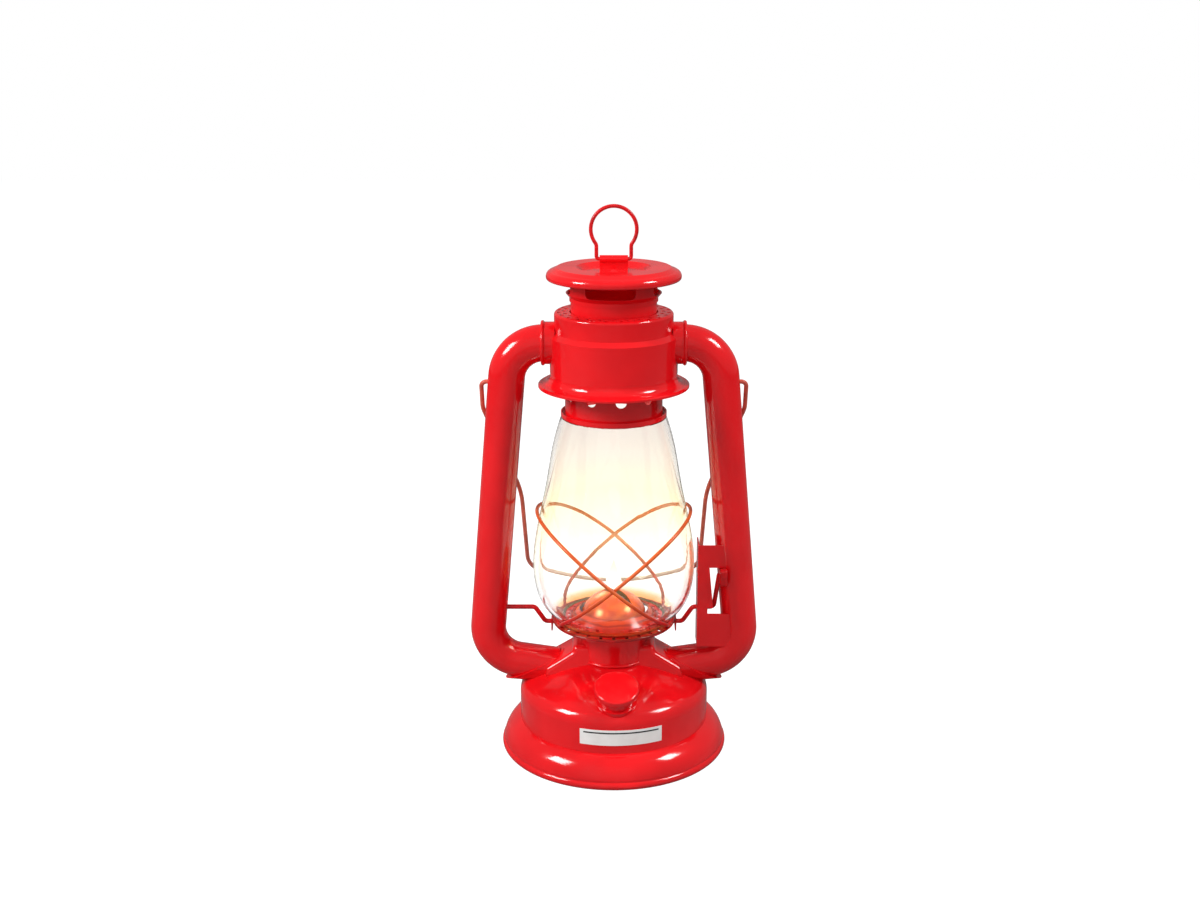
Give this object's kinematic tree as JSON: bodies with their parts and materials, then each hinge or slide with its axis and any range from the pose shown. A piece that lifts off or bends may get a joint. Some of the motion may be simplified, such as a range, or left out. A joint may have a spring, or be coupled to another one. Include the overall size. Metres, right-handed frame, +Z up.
{
  "type": "kerosene lantern",
  "caption": "Tubular kerosene lantern: fuel fount, globe on a lifting plate, wick burner, sliding chimney and carrying bail.",
  "frame": {"origin": "centre of the circle that the foot stands on", "axes": "+Z up, -Y towards the viewer, +X on the side of the lift lever"},
  "size_m": [0.1612, 0.1278, 0.3057],
  "materials": {
    "red_enamel": "gloss",
    "label_film": "satin",
    "glass": "gloss",
    "zinc_steel": "satin",
    "brass": "satin",
    "cotton": "woven",
    "cork": "matt"
  },
  "bodies": {
    "frame": {"base_skirt": "red_enamel", "fount_shell": "red_enamel", "fount_bottom": "red_enamel", "air_trough": "zinc_steel", "filler_neck": "red_enamel", "fill_label": "label_film", "burner_collar": "red_enamel", "burner_body": "brass", "burner_cone": "brass", "wick_tube": "brass", "right_tube": "red_enamel", "left_tube": "red_enamel", "right_tube_collar": "red_enamel", "left_tube_collar": "red_enamel", "bell": "red_enamel", "lever_bracket": "red_enamel"},
    "globe_carrier": {"globe_plate": "red_enamel", "globe": "glass", "guard_wire_a": "red_enamel", "guard_wire_b": "red_enamel"},
    "chimney": {"chimney_crown": "red_enamel", "flue": "red_enamel", "hood_band": "red_enamel", "cap_disc": "red_enamel", "ring_strap": "red_enamel", "strap_rivets": "red_enamel"},
    "lift_ring": {"lift_ring": "red_enamel"},
    "lift_lever": {"lift_lever": "red_enamel"},
    "left_crank": {"left_crank": "red_enamel"},
    "bail": {"bail": "red_enamel"},
    "wick_raiser": {"wick_spindle": "brass", "wick_sprocket_1": "brass", "wick_sprocket_2": "brass", "wick_sprocket_3": "brass", "wick_knob": "zinc_steel"},
    "wick": {"wick": "cotton"},
    "cap_gasket": {"cap_gasket": "cork"},
    "filler_cap": {"filler_cap": "red_enamel"}
  },
  "joints": [
    {"name": "lever_turn", "type": "hinge", "parent": "frame", "child": "lift_lever", "pos_m": [0.0572, -0.002, 0.0825], "axis": [1, 0, 0], "range_deg": [0, 70]},
    {"name": "left_crank_turn", "type": "hinge", "parent": "frame", "child": "left_crank", "pos_m": [-0.06, -0.002, 0.0825], "axis": [1, 0, 0], "range_deg": [0, 70]},
    {"name": "globe_lift", "type": "slide", "parent": "frame", "child": "globe_carrier", "axis": [0, 0, 1], "range_m": [0, 0.00879]},
    {"name": "chimney_lift", "type": "slide", "parent": "globe_carrier", "child": "chimney", "axis": [0, 0, 1], "range_m": [0, 0.02]},
    {"name": "ring_swing", "type": "hinge", "parent": "chimney", "child": "lift_ring", "pos_m": [0, 0, 0.2773], "axis": [1, 0, 0], "range_deg": [-90, 90]},
    {"name": "bail_swing", "type": "hinge", "parent": "frame", "child": "bail", "pos_m": [0, 0, 0.2115], "axis": [1, 0, 0], "range_deg": [0, 320]},
    {"name": "wick_knob_turn", "type": "hinge", "parent": "frame", "child": "wick_raiser", "pos_m": [0.00361, 0.00361, 0.0655], "axis": [-0.7071, 0.7071, 0], "range_deg": [-60, 90]},
    {"name": "wick_slide", "type": "slide", "parent": "frame", "child": "wick", "axis": [0, 0, 1], "range_m": [-0.00418, 0.00628]},
    {"name": "cap_rise", "type": "slide", "parent": "frame", "child": "cap_gasket", "axis": [0.0131, -0.3744, 0.9272], "range_m": [0, 0.004]},
    {"name": "cap_turn", "type": "hinge", "parent": "cap_gasket", "child": "filler_cap", "pos_m": [0.00147, -0.04197, 0.04385], "axis": [0.0131, -0.3744, 0.9272], "range_deg": [0, 720]}
  ],
  "couplings": [
    {"joint": "lever_turn", "follows": "globe_lift", "rad_per_m": 139},
    {"joint": "left_crank_turn", "follows": "globe_lift", "rad_per_m": 139},
    {"joint": "wick_knob_turn", "follows": "wick_slide", "rad_per_m": 250},
    {"joint": "cap_turn", "follows": "cap_rise", "rad_per_m": 3141.5}
  ]
}
